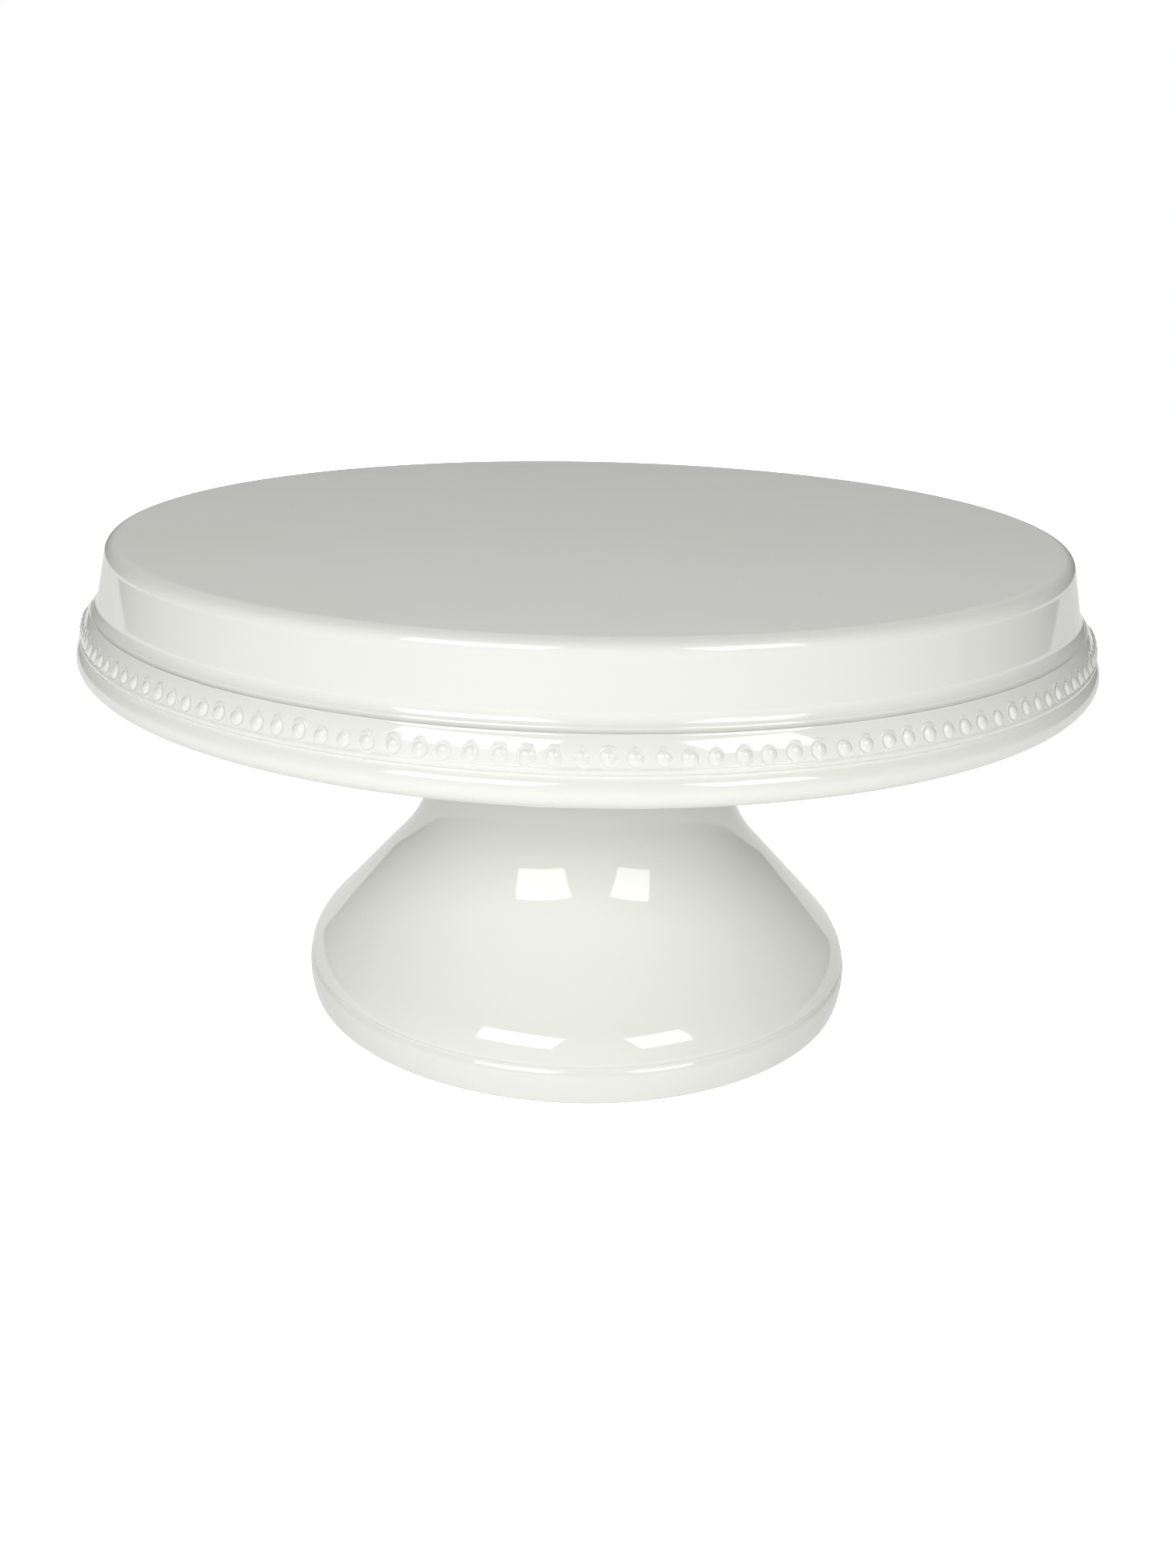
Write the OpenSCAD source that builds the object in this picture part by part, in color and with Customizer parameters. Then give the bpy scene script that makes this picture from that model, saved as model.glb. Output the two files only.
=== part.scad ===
// Pedestal cake stand in glazed stoneware.
// A round plate with a deep beaded skirt is clamped to a hollow bell-shaped
// pedestal by one wing bolt, which is reached from underneath.
// Millimetres, +Z up. The origin is on the table, on the stand's axis.

/* [Overall] */
// Height from the table to the serving surface
stand_h = 149; // [146:1:165]
// Widest diameter, across the rolled lower edge of the plate
plate_d = 300; // [290:1:330]
// Height of the plate from its skirt's lower edge to the serving surface
skirt_h = 36; // [35.5:0.1:37]
// Widest diameter of the pedestal, at its belly
belly_d = 174; // [172:0.5:180]
// Diameter of the pedestal's foot where it meets the table
foot_d = 167; // [160:0.5:170]
// Diameter of the pedestal's waist
waist_d = 93.6; // [90:0.2:98]

/* [Plate] */
// Diameter of the plain drum just below the lip
drum_d = 280.6; // [276:0.2:282]
// How much wider the drum is at its foot, on the diameter
drum_taper = 5.2; // [3:0.2:6]
// Radius of the rounded lip
lip_r = 3.8; // [2:0.1:5]
// Thickness of the serving surface
plate_t = 10; // [8:0.5:11]
// Thickness of the skirt behind the drum
skirt_wall = 8; // [6:0.5:9]
// Radius of the rolled lower edge
roll_r = 4.2; // [4:0.1:4.5]
// Height of the drum, from the serving surface down to the cove
drum_h = 15.3; // [14.5:0.1:15.8]
// Radius of the cove between the drum and the bead band
cove_r = 4; // [3.5:0.1:4.2]
// Radius of the fillet that runs above the beads
upper_fillet_r = 1; // [0.8:0.1:1.1]
// Radius of the fillet that runs below the beads
lower_fillet_r = 0.9; // [0.6:0.1:1]

/* [Beads] */
// Number of beads in the row
bead_count = 156; // [120:1:160]
// Diameter of one bead
bead_d = 4; // [3:0.1:4.2]
// How far each bead's centre lies behind the face of its band
bead_sink = 0.4; // [0:0.1:0.8]

/* [Pedestal] */
// Thickness of the bell's wall
bell_wall = 7; // [6:0.5:8]
// Thickness of the deck that carries the plate
deck_t = 9; // [7:0.5:10]
// Diameter of the deck
deck_d = 132; // [126:1:140]
// Height of the belly's widest point above the table
belly_z = 9; // [8:0.5:10]
// Height of the waist above the table
waist_z = 77; // [74:0.5:80]
// Radius of the belly's curve
belly_r = 18; // [16:0.5:20]
// Radius of the waist's curve below its narrowest point
waist_r = 44; // [42:0.5:46]
// Depth of the groove above the foot
groove_depth = 0.8; // [0.4:0.1:1.2]
// Height of the groove above the table
groove_z = 12.5; // [12:0.5:13.5]
// Width of the flat ring that rests on the table
foot_ring_w = 9; // [7:0.5:11]

/* [Clamp] */
// Nominal diameter of the wing bolt
bolt_d = 8; // [8:1:8]
// Length of the wing bolt below its collar
bolt_len = 25; // [24:1:26]
// Length of the threaded insert in the plate
insert_len = 12; // [11:0.5:13]
// Thickness of the ring gasket on the deck
gasket_t = 2; // [1.5:0.5:3]
// Thickness of the rubber cushion washer
cushion_t = 2.5; // [2:0.5:3]
// Thickness of the steel washer
washer_t = 2; // [1.6:0.2:2.4]
// Height of the bolt's collar
collar_h = 8; // [7:0.5:9]

/* [Hidden] */
$fn = 96;

glaze_color = "ivory";
steel_color = "silver";
rubber_color = "dimgray";

// Plate: places on the outline, from the top down
plate_r = plate_d / 2;
drum_top_r = drum_d / 2;
drum_foot_r = drum_top_r + drum_taper / 2;
drum_foot_z = stand_h - drum_h;
cove_turn = 50;
cove_end_z = drum_foot_z - cove_r * sin(cove_turn);
cove_end_r = drum_foot_r + cove_r * (1 - cos(cove_turn));
upper_fillet_x = cove_end_r + upper_fillet_r + 0.2;
upper_fillet_z = cove_end_z - upper_fillet_r - 0.9;
skirt_z = stand_h - skirt_h;
roll_z = skirt_z + roll_r;
roll_x = plate_r - roll_r;
lower_fillet_x = plate_r - 2.1;
lower_fillet_z = roll_z + roll_r + 0.6;
skirt_foot_r = 2;
skirt_in_r = plate_r - 10;
under_z = stand_h - plate_t;
under_fillet_r = 8;
drum_in_r = drum_foot_r - skirt_wall;

// Boss under the plate, which holds the threaded insert
boss_h = 10;
boss_top_r = 80;
boss_r = 72;
boss_z = under_z - boss_h;

// Threaded insert: the cement gap is the space left round it
cement_gap = 0.1;
barrel_r = 6;
flange_r = 9;
flange_t = 1.5;
thread_gap = 0.05;

// Bead band: a cone between the two fillets
band_top = [upper_fillet_x + upper_fillet_r * cos(40), upper_fillet_z - upper_fillet_r * sin(40)];
band_foot = [lower_fillet_x + lower_fillet_r * cos(60), lower_fillet_z + lower_fillet_r * sin(60)];
band_mid = (band_top + band_foot) / 2;
band_lean = atan2(band_foot[0] - band_top[0], band_top[1] - band_foot[1]);
bead_root = 0.1;

// Pedestal: the belly and the waist are two arcs joined by their common tangent
deck_z = boss_z - gasket_t;
deck_under_z = deck_z - deck_t;
deck_r = deck_d / 2;
deck_edge_h = 4;
deck_edge_r = 1.5;
belly_c = [belly_d / 2 - belly_r, belly_z];
waist_c = [waist_d / 2 + waist_r, waist_z];
centre_gap = norm(waist_c - belly_c);
centre_lean = atan2(waist_c[0] - belly_c[0], waist_c[1] - belly_c[1]);
bell_lean = asin((belly_r + waist_r) / centre_gap) - centre_lean;

// The flare above the waist is one arc up to the edge of the deck
flare_rise = deck_z - deck_edge_h - waist_z;
flare_run = deck_r - waist_d / 2;
flare_r = (flare_rise * flare_rise + flare_run * flare_run) / (2 * flare_run);
flare_turn = asin(flare_rise / flare_r);
flare_c = [waist_d / 2 + flare_r, waist_z];

// The foot is one arc from the belly down to the table
foot_run = (belly_d - foot_d) / 2;
foot_arc_r = (belly_z * belly_z + foot_run * foot_run) / (2 * foot_run);
foot_c = [belly_d / 2 - foot_arc_r, belly_z];
foot_turn = asin(belly_z / foot_arc_r);
groove_r = 1.2;
groove_rise = groove_z - belly_z;
groove_x = belly_c[0] + sqrt(belly_r * belly_r - groove_rise * groove_rise) + groove_r - groove_depth;
foot_in_r = foot_d / 2 - foot_ring_w;

// Clamp: heights of the stack under the deck
cushion_z = deck_under_z - cushion_t;
washer_z = cushion_z - washer_t;
collar_z = washer_z - collar_h;
bolt_tip_z = washer_z + bolt_len;
bolt_r = bolt_d / 2;
deck_hole_r = bolt_r + 1.2;
cushion_r = 16;
washer_r = 12;
washer_gap = 0.3;
collar_r = 7;
bolt_chamfer = 1;
gasket_in_r = 46;
gasket_out_r = 60;
wing_t = 3;
wing_tip_r = 4.5;
wing_tip = [13.5, -8.5];

// Points along an arc about c, from angle a0 to angle a1
function arc(c, r, a0, a1, steps) =
    [for (i = [0 : steps])
        let (a = a0 + (a1 - a0) * i / steps)
        c + r * [cos(a), sin(a)]];

module ring(inner_r, outer_r, z, h) {
    translate([0, 0, z])
        difference() {
            cylinder(r = outer_r, h = h);
            translate([0, 0, -1])
                cylinder(r = inner_r, h = h + 2);
        }
}

// Half section of the plate, without the hole for the insert
module plate_section() {
    polygon(concat(
        [[0, stand_h]],
        arc([drum_top_r - lip_r, stand_h - lip_r], lip_r, 90, 0, 8),
        arc([drum_foot_r + cove_r, drum_foot_z], cove_r, 180, 180 + cove_turn, 6),
        arc([upper_fillet_x, upper_fillet_z], upper_fillet_r, 120, -40, 8),
        arc([lower_fillet_x, lower_fillet_z], lower_fillet_r, 60, -60, 6),
        arc([roll_x, roll_z], roll_r, 60, -90, 14),
        arc([skirt_in_r + skirt_foot_r, skirt_z + skirt_foot_r], skirt_foot_r, -90, -180, 5),
        [[drum_in_r, roll_z + roll_r]],
        arc([drum_in_r - under_fillet_r, under_z - under_fillet_r], under_fillet_r, 0, 90, 8),
        [[boss_top_r, under_z], [boss_r, boss_z], [0, boss_z]]
    ));
}

module plate() {
    color(glaze_color)
        difference() {
            rotate_extrude()
                plate_section();
            translate([0, 0, boss_z - 1])
                cylinder(r = barrel_r + cement_gap, h = insert_len + 1);
            translate([0, 0, boss_z - 1])
                cylinder(r = flange_r + cement_gap, h = flange_t + 1);
        }
}

// One bead: a domed cap whose flat back lies just behind the face of its band
module bead() {
    rotate([0, 90, 0])
        rotate_extrude($fn = 32)
            intersection() {
                translate([0, -bead_sink])
                    circle(d = bead_d, $fn = 32);
                translate([0, -bead_root])
                    square([bead_d, bead_d]);
            }
}

module bead_trim() {
    color(glaze_color)
        for (i = [0 : bead_count - 1])
            rotate([0, 0, 360 * i / bead_count])
                translate([band_mid[0], 0, band_mid[1]])
                    rotate([0, -band_lean, 0])
                        bead();
}

module threaded_insert() {
    color("goldenrod")
        difference() {
            union() {
                translate([0, 0, boss_z])
                    cylinder(r = barrel_r, h = insert_len);
                translate([0, 0, boss_z])
                    cylinder(r = flange_r, h = flange_t);
            }
            translate([0, 0, boss_z - 1])
                cylinder(r = bolt_r + thread_gap, h = insert_len + 2);
        }
}

module seat_gasket() {
    color("gainsboro")
        ring(gasket_in_r, gasket_out_r, deck_z, gasket_t);
}

// Outer side of the pedestal, from the deck down to the table
function bell_outer() = concat(
    arc([deck_r - deck_edge_r, deck_z - deck_edge_r], deck_edge_r, 90, 0, 4),
    arc(flare_c, flare_r, 180 - flare_turn, 180, 14),
    arc(waist_c, waist_r, 180, 180 + bell_lean, 12),
    arc(belly_c, belly_r, bell_lean, 0, 10),
    arc(foot_c, foot_arc_r, 0, -foot_turn, 8)
);

// Inner side of the pedestal, from the table up to the underside of the deck
function bell_inner() = concat(
    [[foot_in_r, 0]],
    arc(belly_c, belly_r - bell_wall, 0, bell_lean, 10),
    arc(waist_c, waist_r + bell_wall, 180 + bell_lean, 180, 12),
    arc(flare_c, flare_r + bell_wall, 180, 180 - flare_turn * 0.6, 8)
);

// Half section of the pedestal, without the groove and the bolt's hole
module pedestal_section() {
    inner = bell_inner();
    polygon(concat(
        [[0, deck_z]],
        bell_outer(),
        inner,
        [[inner[len(inner) - 1][0], deck_under_z], [0, deck_under_z]]
    ));
}

module pedestal() {
    color(glaze_color)
        difference() {
            rotate_extrude()
                pedestal_section();
            rotate_extrude()
                translate([groove_x, groove_z])
                    circle(r = groove_r, $fn = 32);
            translate([0, 0, deck_under_z - 1])
                cylinder(r = deck_hole_r, h = deck_t + 2);
        }
}

module cushion_washer() {
    color(rubber_color)
        ring(bolt_r + washer_gap, cushion_r, cushion_z, cushion_t);
}

module steel_washer() {
    color(steel_color)
        ring(bolt_r + washer_gap, washer_r, washer_z, washer_t);
}

// Outline of one wing, with its root on the bolt's axis
module wing_outline() {
    polygon(concat(
        [[0, 0], [collar_r - 0.5, 0]],
        arc(wing_tip, wing_tip_r, 75, -120, 16),
        [[0, -collar_h]]
    ));
}

module wing_bolt() {
    color(steel_color)
        union() {
            translate([0, 0, washer_z - 1])
                cylinder(r = bolt_r, h = bolt_len + 1 - bolt_chamfer);
            translate([0, 0, bolt_tip_z - bolt_chamfer])
                cylinder(r1 = bolt_r, r2 = bolt_r - bolt_chamfer, h = bolt_chamfer);
            translate([0, 0, collar_z])
                cylinder(r = collar_r, h = collar_h);
            for (side = [0, 180])
                rotate([0, 0, side])
                    translate([0, wing_t / 2, washer_z - 0.5])
                        rotate([90, 0, 0])
                            linear_extrude(height = wing_t)
                                wing_outline();
        }
}

plate();
bead_trim();
threaded_insert();
seat_gasket();
pedestal();
cushion_washer();
steel_washer();
wing_bolt();
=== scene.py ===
import math
import random

import bmesh
import bpy
from bpy.props import FloatProperty, FloatVectorProperty, IntProperty, PointerProperty
from mathutils import Matrix, Vector


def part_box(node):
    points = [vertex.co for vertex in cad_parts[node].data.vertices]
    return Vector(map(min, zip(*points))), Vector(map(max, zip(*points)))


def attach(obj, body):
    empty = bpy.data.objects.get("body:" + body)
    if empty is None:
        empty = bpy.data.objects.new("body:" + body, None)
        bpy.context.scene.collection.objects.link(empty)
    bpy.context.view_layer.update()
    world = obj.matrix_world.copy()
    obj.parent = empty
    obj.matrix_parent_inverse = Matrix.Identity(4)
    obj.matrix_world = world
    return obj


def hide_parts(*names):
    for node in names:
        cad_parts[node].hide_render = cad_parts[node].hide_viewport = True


bl_info = {
    "name": "Beaded Cake Stand",
    "version": (1, 0, 0),
    "blender": (4, 5, 0),
    "location": "3D View > Sidebar > Cake Stand",
    "description": "Builds a glazed stoneware cake stand, its clamp and a plain studio",
    "category": "Add Mesh",
}

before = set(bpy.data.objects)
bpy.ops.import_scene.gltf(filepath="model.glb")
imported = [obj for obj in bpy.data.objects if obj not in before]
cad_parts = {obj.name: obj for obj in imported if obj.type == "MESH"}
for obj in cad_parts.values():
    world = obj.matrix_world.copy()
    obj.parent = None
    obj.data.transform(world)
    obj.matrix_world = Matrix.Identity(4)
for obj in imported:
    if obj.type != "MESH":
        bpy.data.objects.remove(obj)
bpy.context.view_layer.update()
MM = 0.001
TURN = math.tau


def box_mm(node):
    """Lowest and highest corner of a CAD node, in millimetres."""
    low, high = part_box(node)
    return low / MM, high / MM


# Heights and radii of the stand in millimetres, from the CAD
PLATE_LOW, PLATE_HIGH = box_mm("plate")
INSERT_LOW, INSERT_HIGH = box_mm("threaded_insert")
BELL_HIGH = box_mm("pedestal")[1]
CUSHION_LOW, CUSHION_HIGH = box_mm("cushion_washer")
WASHER_LOW, WASHER_HIGH = box_mm("steel_washer")
BOLT_HIGH = box_mm("wing_bolt")[1]
TOP = PLATE_HIGH.z
RIM = PLATE_HIGH.x
SKIRT = PLATE_LOW.z
DECK = BELL_HIGH.z
BELLY = BELL_HIGH.x
SEAT = INSERT_LOW.z
COLLAR = WASHER_LOW.z
DRUM = RIM - 9.7
LATHE_STEPS = 300


def linear(code):
    """Linear colour of an sRGB hex code."""
    channels = [int(code[i : i + 2], 16) / 255 for i in (0, 2, 4)]
    return tuple(c / 12.92 if c <= 0.04045 else ((c + 0.055) / 1.055) ** 2.4 for c in channels)


# Sizes and colours a user would change


class GlazeSettings(bpy.types.PropertyGroup):
    plate_color: FloatVectorProperty(
        name="Plate Glaze", description="White of the glaze on the plate",
        default=linear("F7F8F3"), subtype="COLOR", size=3, min=0, max=1,
    )
    # The pedestal's white is the plate's glaze made darker: painted shade for the shadow of the
    # plate that hangs over the pedestal
    bell_color_painted_shade: FloatVectorProperty(
        name="Pedestal Glaze", description="White of the glaze on the pedestal",
        default=linear("EBECE7"), subtype="COLOR", size=3, min=0, max=1,
    )
    bisque_color: FloatVectorProperty(
        name="Bare Stoneware", description="Colour of the unglazed foot ring",
        default=linear("D9CFBE"), subtype="COLOR", size=3, min=0, max=1,
    )
    roughness: FloatProperty(
        name="Roughness", description="Roughness of the fired glaze",
        default=0.055, subtype="FACTOR", min=0, max=1,
    )
    ripple: FloatProperty(
        name="Ripple", description="Height of the slow waves left in the glaze",
        default=0.06 * MM, unit="LENGTH", min=0, max=0.5 * MM, precision=6,
    )


class BeadSettings(bpy.types.PropertyGroup):
    count: IntProperty(
        name="Beads", description="Number of beads round the skirt",
        default=156, min=60, max=240,
    )
    height: FloatProperty(
        name="Height", description="How far a bead stands out of its band",
        default=0.95 * MM, unit="LENGTH", min=0.3 * MM, max=1.3 * MM, precision=5,
    )
    wander: FloatProperty(
        name="Wander", description="How far a bead strays from its place by hand",
        default=0.3 * MM, unit="LENGTH", min=0, max=0.8 * MM, precision=5,
    )


class ClampSettings(bpy.types.PropertyGroup):
    pitch: FloatProperty(
        name="Thread Pitch", description="Distance from one thread to the next",
        default=1.25 * MM, unit="LENGTH", min=1 * MM, max=1.5 * MM, precision=5,
    )
    zinc_color: FloatVectorProperty(
        name="Zinc", description="Colour of the zinc plating",
        default=linear("C3C6C8"), subtype="COLOR", size=3, min=0, max=1,
    )
    rubber_color: FloatVectorProperty(
        name="Rubber", description="Colour of the cushion washer",
        default=linear("232323"), subtype="COLOR", size=3, min=0, max=1,
    )
    gasket_color: FloatVectorProperty(
        name="Silicone", description="Colour of the seat gasket",
        default=linear("DEDDD8"), subtype="COLOR", size=3, min=0, max=1,
    )
    brass_color: FloatVectorProperty(
        name="Brass", description="Colour of the threaded insert",
        default=linear("D9B779"), subtype="COLOR", size=3, min=0, max=1,
    )


class StudioSettings(bpy.types.PropertyGroup):
    floor_color: FloatVectorProperty(
        name="Floor", description="Colour of the studio floor",
        default=linear("F2F2F0"), subtype="COLOR", size=3, min=0, max=1,
    )
    paper_glow: FloatProperty(
        name="Paper Glow", description="How far the floor lights itself, so that it stays pale",
        default=0.9, min=0, max=2,
    )
    table_glow: FloatProperty(
        name="Light Table", description="Brightness of the table that lights the stand from below",
        default=0.78, min=0, max=2,
    )
    left_power: FloatProperty(
        name="Left Softbox", description="Power of the left softbox",
        default=22, unit="POWER", min=0,
    )
    right_power: FloatProperty(
        name="Right Softbox", description="Power of the right softbox",
        default=14.5, unit="POWER", min=0,
    )
    front_power: FloatProperty(
        name="Front Panel", description="Power of the wide fill in front",
        default=54.0, unit="POWER", min=0,
    )
    back_power: FloatProperty(
        name="Back Panel", description="Power of the wide fill behind",
        default=42.0, unit="POWER", min=0,
    )
    room: FloatProperty(
        name="Room", description="Brightness of the room round the stage",
        default=0.1, min=0, max=2,
    )


# Modelling


def add_point(mesh, last, place):
    """Adds a point to an outline and joins it to the last one."""
    point = bmesh.ops.create_vert(mesh, co=place)["vert"][0]
    if last:
        mesh.edges.new((last, point))
    return point


def degrees_per_step(radius):
    """Finer steps for a wider arc, so that its reflections stay smooth."""
    return 10 if radius < 1.5 else 5 if radius < 6 else 1.6


def draw_outline(mesh, arcs, coarse=0):
    """Draws a half section in the XZ plane from arcs joined by straight lines.

    An arc is its centre x and z, its radius, and its first and last angle. Its steps
    are as many degrees as the coarse setting says, or else as its radius asks for."""
    long_line = 1.2
    support = 0.15
    last = None
    for x, z, radius, begin, end in arcs:
        centre = Vector((x, 0, z))
        angle = math.radians(begin)
        place = centre + radius * Vector((math.cos(angle), 0, math.sin(angle)))
        # A long line gets a point near each end, so that smooth shading leaves it flat
        if last and (place - last.co).length > long_line:
            along = (place - last.co).normalized() * support
            last = add_point(mesh, last, last.co + along)
            last = add_point(mesh, last, place - along)
        last = add_point(mesh, last, place)
        if begin != end:
            fineness = coarse or degrees_per_step(radius)
            swept = bmesh.ops.spin(
                mesh, geom=[last], cent=centre, axis=(0, -1, 0),
                angle=math.radians(end - begin),
                steps=max(2, round(abs(end - begin) / fineness)),
            )
            last = next(
                part for part in swept["geom_last"] if isinstance(part, bmesh.types.BMVert)
            )


def close_outline(mesh):
    """Joins the two loose ends of an outline."""
    ends = [vert for vert in mesh.verts if len(vert.link_edges) == 1]
    mesh.edges.new(ends)


def fill_holes(mesh):
    """Closes every open loop of a skin with a face."""
    bmesh.ops.holes_fill(mesh, edges=[edge for edge in mesh.edges if edge.is_boundary])


def turn_on_lathe(mesh, steps):
    """Turns an outline once round the Z axis into a closed skin."""
    bmesh.ops.spin(
        mesh, geom=mesh.verts[:] + mesh.edges[:], cent=(0, 0, 0), axis=(0, 0, 1),
        angle=TURN, steps=steps, use_merge=True,
    )
    bmesh.ops.remove_doubles(mesh, verts=mesh.verts, dist=1e-4)
    bmesh.ops.recalc_face_normals(mesh, faces=mesh.faces)


def join(mesh, other):
    """Adds one mesh to another and frees it."""
    scrap = bpy.data.meshes.new("scrap")
    other.to_mesh(scrap)
    other.free()
    mesh.from_mesh(scrap)
    bpy.data.meshes.remove(scrap)


def finish_piece(mesh, name, body, materials, nodes):
    """Makes an object of a mesh in millimetres, and ties it to its CAD body and nodes."""
    bmesh.ops.scale(mesh, vec=(MM, MM, MM), verts=mesh.verts)
    for face in mesh.faces:
        face.smooth = True
    data = bpy.data.meshes.new(name)
    mesh.to_mesh(data)
    mesh.free()
    for material in materials:
        data.materials.append(material)
    piece = bpy.data.objects.new(name, data)
    bpy.context.scene.collection.objects.link(piece)
    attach(piece, body)
    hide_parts(*nodes)
    return piece


# Materials


def add_node(tree, kind, settings=(), inputs=(), links=()):
    """Adds a node, sets its properties and inputs, and links sockets into it."""
    node = tree.nodes.new(kind)
    for name, value in dict(settings).items():
        setattr(node, name, value)
    for name, value in dict(inputs).items():
        node.inputs[name].default_value = value
    for name, socket in dict(links).items():
        tree.links.new(socket, node.inputs[name])
    return node


def start_material(name):
    """A new material with its tree, and the Object coordinates in it."""
    material = bpy.data.materials.new(name)
    material.use_nodes = True
    tree = material.node_tree
    tree.nodes.clear()
    place = add_node(tree, "ShaderNodeTexCoord").outputs["Object"]
    return material, tree, place


def end_material(tree, shader):
    add_node(tree, "ShaderNodeOutputMaterial", links={"Surface": shader.outputs["BSDF"]})


def per_metre(size_mm):
    """Texture scale at which one feature of a pattern is so many millimetres wide."""
    return 1 / (size_mm * MM)


def glazed_stoneware(name, color, settings):
    """Tin-white glaze fired on stoneware: milky body colour under a thin glassy skin."""
    material, tree, place = start_material(name)
    # The glaze runs a little thinner and warmer in slow clouds, some 60 mm across
    clouds = add_node(
        tree, "ShaderNodeTexNoise",
        inputs={"Scale": per_metre(60), "Detail": 2.0, "Roughness": 0.45},
        links={"Vector": place},
    )
    tint = add_node(
        tree, "ShaderNodeMix", settings={"data_type": "RGBA"},
        inputs={"A": (*color, 1), "B": (color[0] * 0.985, color[1] * 0.98, color[2] * 0.955, 1)},
        links={"Factor": clouds.outputs["Fac"]},
    )
    # Waves of the dipped glaze, 25 mm long, and orange peel about 2 mm across
    waves = add_node(
        tree, "ShaderNodeTexNoise",
        inputs={"Scale": per_metre(25), "Detail": 1.0, "Roughness": 0.4},
        links={"Vector": place},
    )
    peel = add_node(
        tree, "ShaderNodeTexNoise",
        inputs={"Scale": per_metre(2.2), "Detail": 1.0, "Roughness": 0.5},
        links={"Vector": place},
    )
    wave_bump = add_node(
        tree, "ShaderNodeBump", inputs={"Strength": 1.0, "Distance": settings.ripple},
        links={"Height": waves.outputs["Fac"]},
    )
    peel_bump = add_node(
        tree, "ShaderNodeBump", inputs={"Strength": 1.0, "Distance": settings.ripple * 0.02},
        links={"Height": peel.outputs["Fac"], "Normal": wave_bump.outputs["Normal"]},
    )
    shader = add_node(
        tree, "ShaderNodeBsdfPrincipled",
        inputs={"Roughness": settings.roughness, "IOR": 1.52},
        links={"Base Color": tint.outputs["Result"], "Normal": peel_bump.outputs["Normal"]},
    )
    end_material(tree, shader)
    return material


def bare_stoneware(color):
    """Bisque stoneware wiped clean of glaze: matt, sandy and a little speckled."""
    material, tree, place = start_material("bare_stoneware")
    grit = add_node(
        tree, "ShaderNodeTexNoise",
        inputs={"Scale": per_metre(0.8), "Detail": 3.0}, links={"Vector": place},
    )
    tint = add_node(
        tree, "ShaderNodeMix", settings={"data_type": "RGBA"},
        inputs={"A": (*color, 1), "B": (color[0] * 0.72, color[1] * 0.7, color[2] * 0.66, 1)},
        links={"Factor": grit.outputs["Fac"]},
    )
    bump = add_node(
        tree, "ShaderNodeBump", inputs={"Strength": 0.6, "Distance": 0.05 * MM},
        links={"Height": grit.outputs["Fac"]},
    )
    shader = add_node(
        tree, "ShaderNodeBsdfPrincipled", inputs={"Roughness": 0.85},
        links={"Base Color": tint.outputs["Result"], "Normal": bump.outputs["Normal"]},
    )
    end_material(tree, shader)
    return material


def zinc_plated_steel(color):
    """Bright zinc plating: a soft metal gloss, clouded where the bath left it uneven."""
    material, tree, place = start_material("zinc_plated_steel")
    bloom = add_node(
        tree, "ShaderNodeTexNoise",
        inputs={"Scale": per_metre(4), "Detail": 4.0}, links={"Vector": place},
    )
    rough = add_node(
        tree, "ShaderNodeMapRange", inputs={"To Min": 0.24, "To Max": 0.42},
        links={"Value": bloom.outputs["Fac"]},
    )
    tint = add_node(
        tree, "ShaderNodeMix", settings={"data_type": "RGBA"},
        inputs={"A": (*color, 1), "B": (color[0] * 0.82, color[1] * 0.84, color[2] * 0.9, 1)},
        links={"Factor": bloom.outputs["Fac"]},
    )
    bump = add_node(
        tree, "ShaderNodeBump", inputs={"Strength": 0.5, "Distance": 0.02 * MM},
        links={"Height": bloom.outputs["Fac"]},
    )
    shader = add_node(
        tree, "ShaderNodeBsdfPrincipled", inputs={"Metallic": 1.0},
        links={
            "Base Color": tint.outputs["Result"], "Roughness": rough.outputs["Result"],
            "Normal": bump.outputs["Normal"],
        },
    )
    end_material(tree, shader)
    return material


def turned_brass(color):
    """Brass off the lathe: fine rings of tool marks round the axis, drawn 0.4 mm apart."""
    material, tree, place = start_material("turned_brass")
    rings = add_node(
        tree, "ShaderNodeTexWave",
        settings={"wave_type": "RINGS", "rings_direction": "Z"},
        inputs={"Scale": per_metre(0.4) / 20, "Distortion": 0.3, "Detail": 1.0},
        links={"Vector": place},
    )
    rough = add_node(
        tree, "ShaderNodeMapRange", inputs={"To Min": 0.22, "To Max": 0.34},
        links={"Value": rings.outputs["Fac"]},
    )
    bump = add_node(
        tree, "ShaderNodeBump", inputs={"Strength": 0.3, "Distance": 0.01 * MM},
        links={"Height": rings.outputs["Fac"]},
    )
    shader = add_node(
        tree, "ShaderNodeBsdfPrincipled",
        inputs={"Base Color": (*color, 1), "Metallic": 1.0},
        links={"Roughness": rough.outputs["Result"], "Normal": bump.outputs["Normal"]},
    )
    end_material(tree, shader)
    return material


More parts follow.
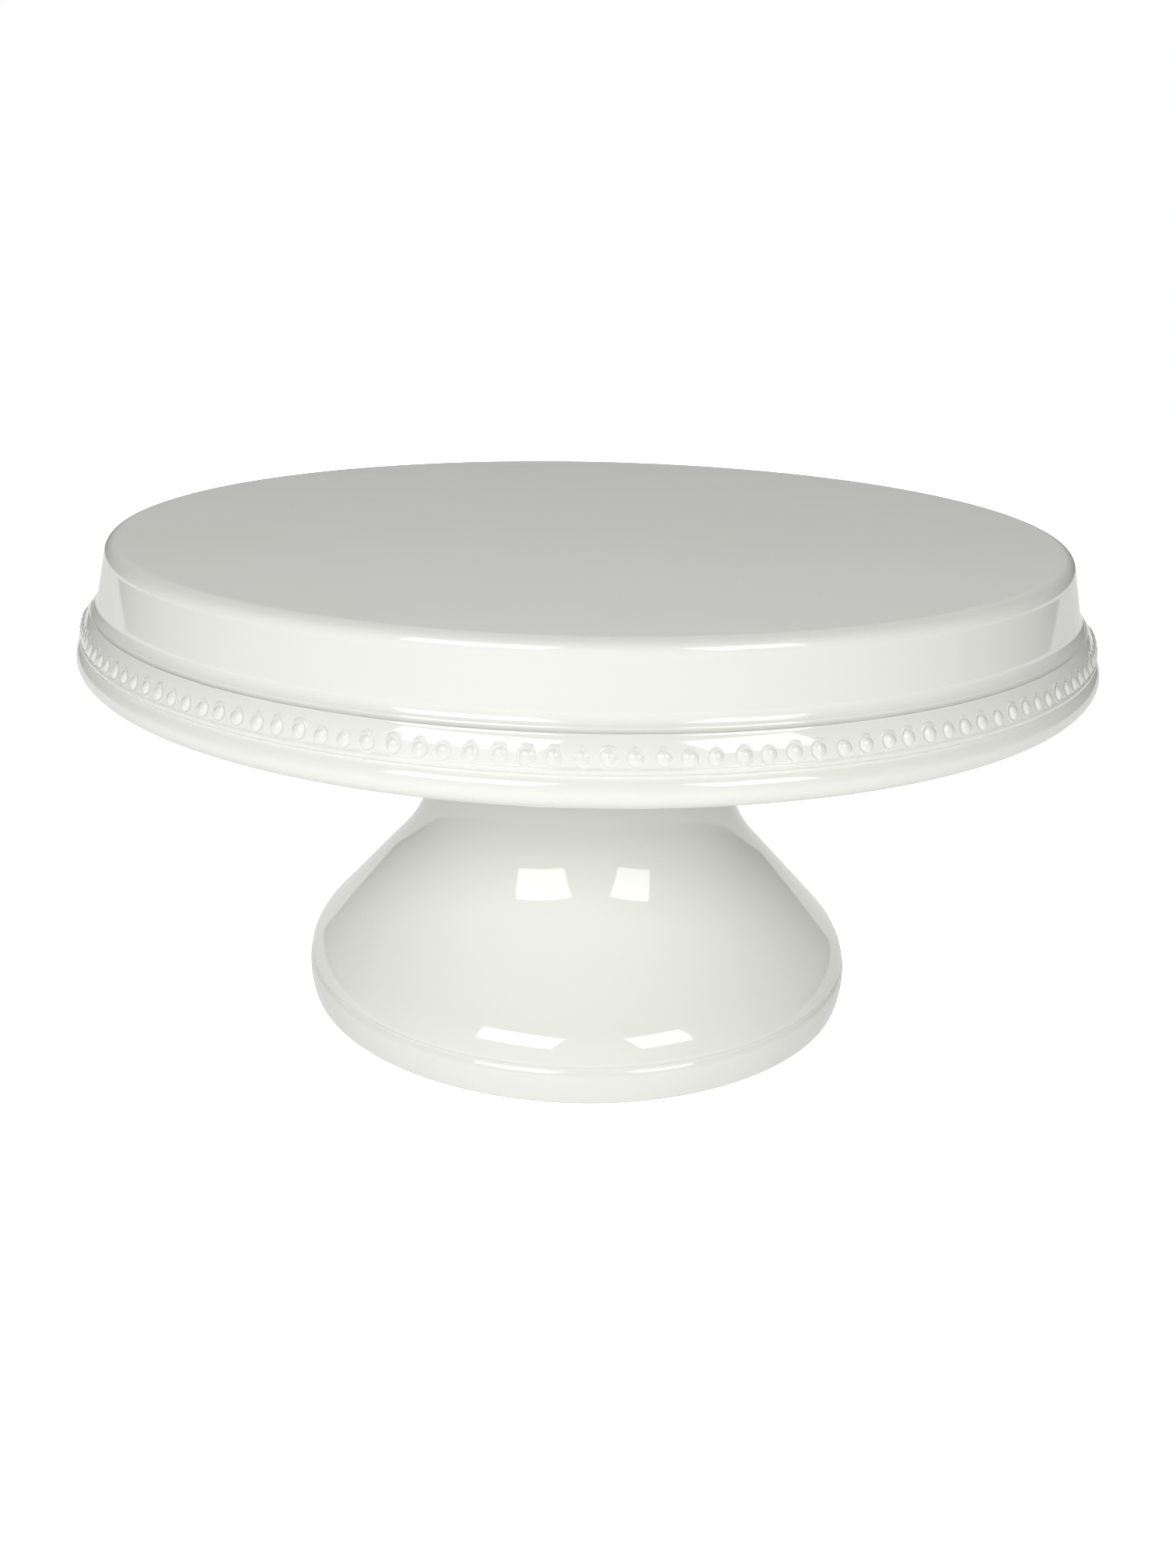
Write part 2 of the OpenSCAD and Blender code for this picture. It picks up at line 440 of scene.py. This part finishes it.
def moulded_rubber(name, color, roughness):
    """Press-moulded rubber: matt, with a faint bloom and a fine mould texture."""
    material, tree, place = start_material(name)
    bloom = add_node(
        tree, "ShaderNodeTexNoise",
        inputs={"Scale": per_metre(3), "Detail": 5.0}, links={"Vector": place},
    )
    tint = add_node(
        tree, "ShaderNodeMix", settings={"data_type": "RGBA"},
        inputs={"A": (*color, 1), "B": (*(c * 0.7 + 0.03 for c in color), 1)},
        links={"Factor": bloom.outputs["Fac"]},
    )
    grain = add_node(
        tree, "ShaderNodeTexNoise",
        inputs={"Scale": per_metre(0.5), "Detail": 2.0}, links={"Vector": place},
    )
    bump = add_node(
        tree, "ShaderNodeBump", inputs={"Strength": 0.4, "Distance": 0.03 * MM},
        links={"Height": grain.outputs["Fac"]},
    )
    shader = add_node(
        tree, "ShaderNodeBsdfPrincipled",
        inputs={"Roughness": roughness, "Specular IOR Level": 0.4},
        links={"Base Color": tint.outputs["Result"], "Normal": bump.outputs["Normal"]},
    )
    end_material(tree, shader)
    return material


def studio_paper(color, glow):
    """Matt white paper of the floor, which lights itself a little so that it stays pale."""
    material, tree, place = start_material("studio_paper")
    fibres = add_node(
        tree, "ShaderNodeTexNoise",
        inputs={"Scale": per_metre(5), "Detail": 3.0}, links={"Vector": place},
    )
    bump = add_node(
        tree, "ShaderNodeBump", inputs={"Strength": 0.1, "Distance": 0.02 * MM},
        links={"Height": fibres.outputs["Fac"]},
    )
    shader = add_node(
        tree, "ShaderNodeBsdfPrincipled",
        inputs={
            "Base Color": (*color, 1), "Roughness": 0.9, "Specular IOR Level": 0.1,
            "Emission Color": (1, 1, 1, 1), "Emission Strength": glow,
        },
        links={"Normal": bump.outputs["Normal"]},
    )
    end_material(tree, shader)
    return material


def light_table(glow):
    """Opal light table: an even white glow."""
    material, tree, _ = start_material("light_table")
    shader = add_node(
        tree, "ShaderNodeBsdfPrincipled",
        inputs={
            "Base Color": (0, 0, 0, 1), "Roughness": 1.0, "Specular IOR Level": 0.0,
            "Emission Color": (1, 1, 1, 1), "Emission Strength": glow,
        },
    )
    end_material(tree, shader)
    return material


# Pieces


class CAKESTAND_OT_plate(bpy.types.Operator):
    """Builds the glazed plate with its moulded skirt"""

    bl_idname = "cakestand.plate"
    bl_label = "Plate"

    def execute(self, context):
        glaze = context.scene.cakestand_glaze
        mesh = bmesh.new()
        draw_outline(mesh, [
            (0, TOP, 0, 0, 0),
            (60, TOP, 0, 0, 0),
            (DRUM - 7, TOP, 0, 0, 0),
            (DRUM - 4.4, TOP, 0, 0, 0),
            # Rounded lip, the drum below it and the cove at its foot
            (DRUM - 3.8, TOP - 3.8, 3.8, 90, 0),
            (DRUM + 0.1, TOP - 4.2, 0, 0, 0),
            (DRUM + 2.5, TOP - 14.9, 0, 0, 0),
            (DRUM + 6.6, TOP - 15.3, 4, 180, 230),
            # Round-faced bead band, the narrow ridge below it and the roll that ends the skirt
            (RIM - 5.1, TOP - 19.9, 0.5, 130, 60),
            (RIM - 16.94, TOP - 29.42, 15.6, 39, 13),
            (RIM - 2.1, TOP - 27, 0.9, 60, -60),
            (RIM - 4.2, SKIRT + 4.2, 4.2, 60, -90),
            # Inside of the skirt and the hollow underside
            (RIM - 8, SKIRT + 2, 2, 270, 180),
            (DRUM + 2.6 - 8, SKIRT + 8.4, 0, 0, 0),
            (DRUM + 2.6 - 8, TOP - 18.6, 0, 0, 0),
            (DRUM + 2.6 - 16, TOP - 18, 8, 0, 90),
            (105, TOP - 10, 0, 0, 0),
            # Boss that sits on the pedestal
            (83, TOP - 13, 3, 90, 140),
            (73, SEAT + 1, 1, 320, 270),
            (71, SEAT, 0, 0, 0),
            (40, SEAT, 0, 0, 0),
            (9.6, SEAT + 0.5, 0.5, 270, 180),
            (9.1, SEAT + 1.6, 0, 0, 0),
            (6.1, SEAT + 1.6, 0, 0, 0),
            (6.1, INSERT_HIGH.z, 0, 0, 0),
            (0, INSERT_HIGH.z, 0, 0, 0),
        ])
        turn_on_lathe(mesh, LATHE_STEPS)
        skin = glazed_stoneware("white_stoneware_glaze_plate", glaze.plate_color, glaze)
        plate = finish_piece(mesh, "glazed_plate", "plate", [skin], ["plate"])
        # The pedestal's glaze reflects the softboxes, not the plate that hangs over it
        plate.visible_glossy = False
        return {"FINISHED"}


class CAKESTAND_OT_beads(bpy.types.Operator):
    """Builds the row of beads pressed on the band of the skirt"""

    bl_idname = "cakestand.beads"
    bl_label = "Bead Row"

    def execute(self, context):
        glaze = context.scene.cakestand_glaze
        beads = context.scene.cakestand_beads
        wander = beads.wander / MM
        # The outline below stands 0.95 mm out of the band
        stretch = beads.height / MM / 0.95
        luck = random.Random(7)
        # The foot of a bead is sunk 0.2 mm in the band, as the band is round-faced
        middle = Vector((RIM - 2.46, 0, TOP - 24.17))
        lean = Matrix.Rotation(math.radians(90 - 19.9), 4, "Y")
        row = bmesh.new()
        for index in range(beads.count):
            bead = bmesh.new()
            # A low dome, with the glaze drawn into a soft fillet round its foot
            draw_outline(bead, [
                (0, -1.95, 3, 90, 45),
                (2.75, 0.849, 0.849, 225, 270),
                (2.8, -0.35, 0, 0, 0),
            ], 13)
            turn_on_lathe(bead, 12)
            fill_holes(bead)
            bmesh.ops.scale(
                bead, verts=bead.verts,
                vec=(
                    luck.uniform(0.96, 1.08),
                    luck.uniform(0.94, 1.04),
                    luck.uniform(0.84, 1.06) * stretch,
                ),
            )
            bmesh.ops.transform(bead, matrix=lean, verts=bead.verts)
            stray = Vector((0, luck.uniform(-wander, wander), luck.uniform(-wander, wander) * 0.5))
            bmesh.ops.translate(bead, verts=bead.verts, vec=middle + stray)
            bmesh.ops.rotate(
                bead, verts=bead.verts, cent=(0, 0, 0),
                matrix=Matrix.Rotation(TURN * index / beads.count, 3, "Z"),
            )
            join(row, bead)
        if not row.faces:
            raise RuntimeError("the bead row came out empty")
        skin = glazed_stoneware("white_stoneware_glaze_beads", glaze.plate_color, glaze)
        piece = finish_piece(row, "bead_row", "plate", [skin], ["bead_trim"])
        piece.visible_glossy = False
        return {"FINISHED"}


class CAKESTAND_OT_pedestal(bpy.types.Operator):
    """Builds the hollow bell pedestal with its groove and bare foot ring"""

    bl_idname = "cakestand.pedestal"
    bl_label = "Pedestal"

    def execute(self, context):
        glaze = context.scene.cakestand_glaze
        wall = 7
        bare_height = 0.6
        belly_radius = 18
        waist_radius = 44
        belly = (BELLY - belly_radius, 9)
        waist = (90.8, 77)
        neck = 46.8
        deck_edge = 66
        # The belly and the waist are arcs joined by their common tangent
        gap = math.hypot(waist[0] - belly[0], waist[1] - belly[1])
        offset = math.atan2(waist[0] - belly[0], waist[1] - belly[1])
        lean = math.degrees(math.asin((waist_radius + belly_radius) / gap) - offset)
        # The flare runs from the neck up to the edge of the deck
        rise = DECK - 4 - waist[1]
        run = deck_edge - neck
        flare = (rise * rise + run * run) / (2 * run)
        flare_turn = math.degrees(math.asin(rise / flare))
        groove = math.degrees(math.asin(3.5 / belly_radius))
        mesh = bmesh.new()
        draw_outline(mesh, [
            (5.7, DECK - 0.5, 0.5, 180, 90),
            (40, DECK, 0, 0, 0),
            (63.5, DECK, 0, 0, 0),
            (64.5, DECK - 1.5, 1.5, 90, 0),
            (neck + flare, waist[1], flare, 180 - flare_turn, 180),
            (*waist, waist_radius, 180, 180 + lean),
            # Belly, cut by the softened groove above the foot
            (*belly, belly_radius, lean, groove + 4.6),
            (BELLY - 0.04, 12.5, 1, 135, 225),
            (*belly, belly_radius, groove - 4.6, 0),
            (BELLY - 24.9, 9, 24.9, 0, -17),
            (82.3, 0.9, 0.9, -20, -90),
            # Bare foot ring, then the inside of the bell
            (75.5, 1, 1, 270, 180),
            (*belly, belly_radius - wall, 0, lean),
            (*waist, waist_radius + wall, 180 + lean, 180),
            (neck + flare, waist[1], flare + wall, 180, 180 - flare_turn * 0.6),
            (30, DECK - 9, 0, 0, 0),
            (5.7, DECK - 8.5, 0.5, 270, 180),
        ])
        close_outline(mesh)
        turn_on_lathe(mesh, LATHE_STEPS)
        for face in mesh.faces:
            if max(vert.co.z for vert in face.verts) < bare_height:
                face.material_index = 1
        # The pedestal's glaze is a darker copy of the plate's white, which paints the shade of the
        # plate over it
        skin = glazed_stoneware("white_stoneware_glaze_pedestal_painted_shade", glaze.bell_color_painted_shade, glaze)
        bisque = bare_stoneware(glaze.bisque_color)
        finish_piece(
            mesh, "glazed_pedestal", "pedestal", [skin, bisque], ["pedestal"]
        )
        return {"FINISHED"}


class CAKESTAND_OT_washers(bpy.types.Operator):
    """Builds the rubber cushion and the steel washer under the deck"""

    bl_idname = "cakestand.washers"
    bl_label = "Washers"

    def execute(self, context):
        clamp = context.scene.cakestand_clamp
        rubber = moulded_rubber("black_rubber", clamp.rubber_color, 0.6)
        zinc = zinc_plated_steel(clamp.zinc_color)
        bore = 4.3
        for name, low, high, edge, slot, skin, node in (
            (
                "rubber_cushion", CUSHION_LOW, CUSHION_HIGH, 0.6,
                "black_rubber", rubber, "cushion_washer",
            ),
            ("zinc_washer", WASHER_LOW, WASHER_HIGH, 0.3, "zinc_steel", zinc, "steel_washer"),
        ):
            mesh = bmesh.new()
            outer = high.x - edge
            inner = bore + edge
            draw_outline(mesh, [
                (outer, high.z - edge, edge, 90, 0),
                (outer, low.z + edge, edge, 0, -90),
                (inner, low.z + edge, edge, 270, 180),
                (inner, high.z - edge, edge, 180, 90),
            ])
            close_outline(mesh)
            turn_on_lathe(mesh, 96)
            finish_piece(mesh, name, "washers", [skin], [node])
        return {"FINISHED"}


class CAKESTAND_OT_wing_bolt(bpy.types.Operator):
    """Builds the wing bolt with its cut thread and forged wings"""

    bl_idname = "cakestand.wing_bolt"
    bl_label = "Wing Bolt"

    def execute(self, context):
        clamp = context.scene.cakestand_clamp
        pitch = clamp.pitch / MM
        mesh = bmesh.new()
        # Thread: one tooth swept up a helix, then cut square at both ends
        tip = BOLT_HIGH.z
        root = 4 - 0.61 * pitch
        turns = math.ceil((tip - COLLAR) / pitch) + 1
        tooth = [(root, 0), (root, 0.14), (4, 0.48), (4, 0.6), (root, 0.94), (root, 1)]
        last = None
        for x, z in tooth:
            last = add_point(mesh, last, Vector((x, 0, COLLAR - 1 - pitch + z * pitch)))
        steps = 32
        bmesh.ops.spin(
            mesh, geom=mesh.verts[:] + mesh.edges[:], cent=(0, 0, 0), axis=(0, 0, 1),
            dvec=(0, 0, pitch / steps), angle=TURN * (turns + 1), steps=steps * (turns + 1),
        )
        bmesh.ops.remove_doubles(mesh, verts=mesh.verts, dist=1e-3)
        for height, clear_outer in ((tip, True), (COLLAR - 0.5, False)):
            bmesh.ops.bisect_plane(
                mesh, geom=mesh.verts[:] + mesh.edges[:] + mesh.faces[:], dist=1e-4,
                plane_co=(0, 0, height), plane_no=(0, 0, 1),
                clear_outer=clear_outer, clear_inner=not clear_outer,
            )
        fill_holes(mesh)
        # The tip is chamfered to 45 degrees
        for vert in mesh.verts:
            reach = math.hypot(vert.co.x, vert.co.y)
            limit = 3 + tip - vert.co.z
            if reach > limit:
                vert.co.x *= limit / reach
                vert.co.y *= limit / reach
        bmesh.ops.recalc_face_normals(mesh, faces=mesh.faces)
        # Collar: a turned drum with rounded shoulders
        collar = bmesh.new()
        low = COLLAR - 8
        draw_outline(collar, [
            (0, COLLAR, 0, 0, 0),
            (5.4, COLLAR, 0, 0, 0),
            (5.9, COLLAR - 0.8, 0.8, 90, 20),
            (5.6, low + 1.2, 1.2, 0, -90),
            (0, low, 0, 0, 0),
        ])
        turn_on_lathe(collar, 48)
        # Wings: each one outline pushed to its thickness, with its edges rolled over
        thickness = 3
        for side in (1, -1):
            wing = bmesh.new()
            draw_outline(wing, [
                (2, COLLAR - 0.8, 0, 0, 0),
                (6.5, COLLAR - 0.8, 0, 0, 0),
                (13.5, COLLAR - 9, 4.5, 75, -120),
                (2, COLLAR - 7.6, 0, 0, 0),
            ])
            close_outline(wing)
            bmesh.ops.contextual_create(wing, geom=wing.edges[:])
            grown = bmesh.ops.extrude_face_region(wing, geom=wing.faces[:])
            moved = [part for part in grown["geom"] if isinstance(part, bmesh.types.BMVert)]
            bmesh.ops.translate(wing, vec=(0, thickness, 0), verts=moved)
            bmesh.ops.translate(wing, vec=(0, -thickness / 2, 0), verts=wing.verts)
            bmesh.ops.recalc_face_normals(wing, faces=wing.faces)
            rims = [edge for edge in wing.edges if edge.calc_face_angle() > 1.2]
            bmesh.ops.bevel(
                wing, geom=rims, offset=1.1, segments=4, profile=0.5, affect="EDGES",
                material=-1, offset_type="OFFSET", clamp_overlap=True,
            )
            bmesh.ops.triangulate(wing, faces=[face for face in wing.faces if len(face.verts) > 4])
            if side < 0:
                half_turn = Matrix.Rotation(math.pi, 3, "Z")
                bmesh.ops.rotate(wing, verts=wing.verts, cent=(0, 0, 0), matrix=half_turn)
            join(mesh, wing)
        join(mesh, collar)
        zinc = zinc_plated_steel(clamp.zinc_color)
        finish_piece(mesh, "zinc_wing_bolt", "wing_bolt", [zinc], ["wing_bolt"])
        return {"FINISHED"}


class CAKESTAND_OT_fittings(bpy.types.Operator):
    """Gives the threaded insert and the seat gasket their finish"""

    bl_idname = "cakestand.fittings"
    bl_label = "Insert and Gasket"

    def execute(self, context):
        clamp = context.scene.cakestand_clamp
        brass = turned_brass(clamp.brass_color)
        silicone = moulded_rubber("white_silicone", clamp.gasket_color, 0.45)
        for node, skin in (("threaded_insert", brass), ("seat_gasket", silicone)):
            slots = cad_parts[node].data.materials
            slots.clear()
            slots.append(skin)
        return {"FINISHED"}


def add_softbox(name, azimuth, elevation, width, height, power, distance, seen_by):
    """A flat area light, placed as seen from the stand: azimuth from the front, then elevation.

    It is seen by diffuse rays, as a fill, or by glossy rays, as a highlight."""
    light = bpy.data.lights.new(name, "AREA")
    light.shape = "RECTANGLE"
    light.size = width
    light.size_y = height
    light.energy = power
    lamp = bpy.data.objects.new(name, light)
    bpy.context.scene.collection.objects.link(lamp)
    swing = Matrix.Rotation(math.radians(azimuth), 4, "Z")
    raise_up = Matrix.Rotation(math.radians(90 - elevation), 4, "X")
    aim = Matrix.Translation((0, -70 * MM, 60 * MM))
    lamp.matrix_world = aim @ swing @ raise_up @ Matrix.Translation((0, 0, distance))
    lamp.visible_camera = False
    lamp.visible_diffuse = seen_by == "diffuse"
    lamp.visible_glossy = seen_by == "glossy"
    return lamp


def add_floor(name, material, height):
    """A round floor under the whole studio."""
    mesh = bmesh.new()
    bmesh.ops.create_circle(mesh, cap_ends=True, segments=96, radius=1.6)
    bmesh.ops.translate(mesh, vec=(0, 0, height), verts=mesh.verts)
    data = bpy.data.meshes.new(name)
    mesh.to_mesh(data)
    mesh.free()
    data.materials.append(material)
    floor = bpy.data.objects.new(name, data)
    bpy.context.scene.collection.objects.link(floor)
    return floor


class CAKESTAND_OT_studio(bpy.types.Operator):
    """Builds the floor, the lights, the room and the camera"""

    bl_idname = "cakestand.studio"
    bl_label = "Studio"

    def execute(self, context):
        studio = context.scene.cakestand_studio
        scene = context.scene
        # The paper is what the camera sees, and the light table under it is what lights the stand
        paper = add_floor("paper_floor", studio_paper(studio.floor_color, studio.paper_glow), 0)
        paper.visible_diffuse = False
        paper.visible_glossy = False
        table = add_floor("light_table", light_table(studio.table_glow), -MM)
        table.visible_camera = False
        add_softbox("front_panel", -6, 27, 3.0, 0.9, studio.front_power, 2.5, "diffuse")
        add_softbox("back_panel", 180, 30, 2.0, 1.2, studio.back_power, 2.0, "diffuse")
        # Only the floor shades the two softboxes, so their highlights reach in under the plate
        shade = bpy.data.collections.new("softbox_shade")
        shade.objects.link(table)
        for name, azimuth, elevation, width, height, power in (
            ("left_softbox", -26, 39.5, 1.3, 0.96, studio.left_power),
            ("right_softbox", 40.5, 37, 0.94, 0.94, studio.right_power),
        ):
            lamp = add_softbox(name, azimuth, elevation, width, height, power, 2.5, "glossy")
            lamp.light_linking.blocker_collection = shade
        world = bpy.data.worlds.new("room")
        world.use_nodes = True
        tree = world.node_tree
        tree.nodes.clear()
        sight = add_node(tree, "ShaderNodeLightPath")
        tone = add_node(
            tree, "ShaderNodeMix", settings={"data_type": "RGBA"},
            inputs={"A": (studio.room, studio.room, studio.room, 1), "B": (1, 1, 1, 1)},
            links={"Factor": sight.outputs["Is Camera Ray"]},
        )
        glow = add_node(tree, "ShaderNodeBackground", links={"Color": tone.outputs["Result"]})
        add_node(tree, "ShaderNodeOutputWorld", links={"Surface": glow.outputs["Background"]})
        scene.world = world
        scene.view_settings.view_transform = "Standard"
        lens = bpy.data.cameras.new("camera")
        lens.sensor_width = 36
        lens.lens = 34.68
        lens.shift_x = 0.0337
        lens.clip_start = 0.01
        camera = bpy.data.objects.new("camera", lens)
        scene.collection.objects.link(camera)
        stand = Matrix.Translation((0, -0.4539, TOP * MM + 0.0802))
        swing = Matrix.Rotation(math.radians(1.8), 4, "Z")
        tilt = Matrix.Rotation(math.radians(90 - 19.82), 4, "X")
        roll = Matrix.Rotation(math.radians(0.82), 4, "Z")
        camera.matrix_world = stand @ swing @ tilt @ roll
        scene.camera = camera
        return {"FINISHED"}


class CAKESTAND_PT_panel(bpy.types.Panel):
    """Lists the pieces of the cake stand"""

    bl_idname = "CAKESTAND_PT_panel"
    bl_label = "Cake Stand"
    bl_space_type = "VIEW_3D"
    bl_region_type = "UI"
    bl_category = "Cake Stand"

    def draw(self, context):
        for group in ("cakestand_glaze", "cakestand_beads", "cakestand_clamp", "cakestand_studio"):
            settings = getattr(context.scene, group)
            box = self.layout.box()
            for name in settings.__annotations__:
                box.prop(settings, name)
        for operator in OPERATORS:
            self.layout.operator(operator.bl_idname)


SETTINGS = {
    "cakestand_glaze": GlazeSettings,
    "cakestand_beads": BeadSettings,
    "cakestand_clamp": ClampSettings,
    "cakestand_studio": StudioSettings,
}
OPERATORS = (
    CAKESTAND_OT_plate,
    CAKESTAND_OT_beads,
    CAKESTAND_OT_pedestal,
    CAKESTAND_OT_washers,
    CAKESTAND_OT_wing_bolt,
    CAKESTAND_OT_fittings,
    CAKESTAND_OT_studio,
)
CLASSES = (*SETTINGS.values(), *OPERATORS, CAKESTAND_PT_panel)


def register():
    for cls in CLASSES:
        bpy.utils.register_class(cls)
    for name, group in SETTINGS.items():
        setattr(bpy.types.Scene, name, PointerProperty(type=group))


def unregister():
    for name in SETTINGS:
        delattr(bpy.types.Scene, name)
    for cls in reversed(CLASSES):
        bpy.utils.unregister_class(cls)


def main():
    register()
    for piece in ("plate", "beads", "pedestal", "washers", "wing_bolt", "fittings", "studio"):
        getattr(bpy.ops.cakestand, piece)()
    bpy.context.view_layer.update()


if __name__ == "__main__":
    main()
